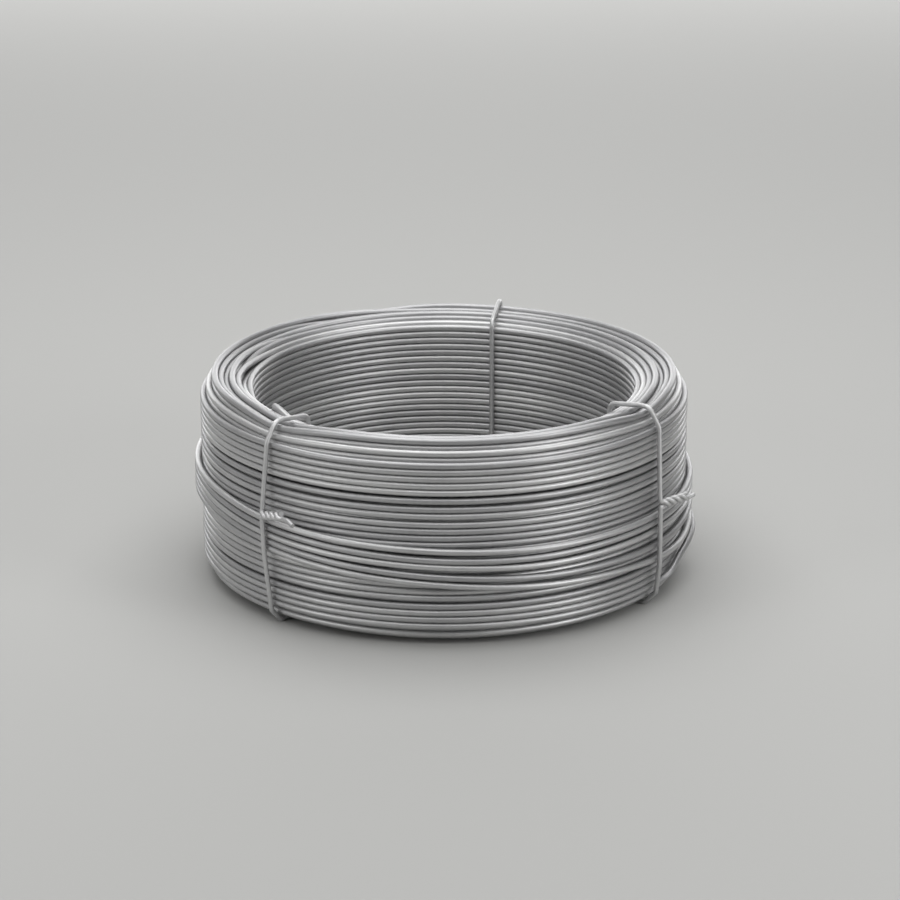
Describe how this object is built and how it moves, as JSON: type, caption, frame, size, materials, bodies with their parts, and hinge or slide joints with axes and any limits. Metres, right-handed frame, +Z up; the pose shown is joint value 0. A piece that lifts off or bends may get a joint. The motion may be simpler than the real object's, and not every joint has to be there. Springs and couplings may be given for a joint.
{
  "type": "coil of wire rod",
  "caption": "Upright coil of bright wire rod, close layer-wound with an open eye, held by three twisted wire ties.",
  "frame": {"origin": "on the coil's axis, at the level of the floor that the coil stands on", "axes": "+Z up along the coil's axis; -Y towards the front, where two of the three ties show"},
  "size_m": [0.4122, 0.4234, 0.1746],
  "materials": {
    "bright_wire": "bright zinc-coated wire with a soft drawn sheen",
    "tie_wire": "plain zinc-coated soft tie wire"
  },
  "bodies": {
    "root": {"coil": "bright_wire", "tie_left": "tie_wire", "tie_right": "tie_wire", "tie_back": "tie_wire"}
  },
  "joints": []
}
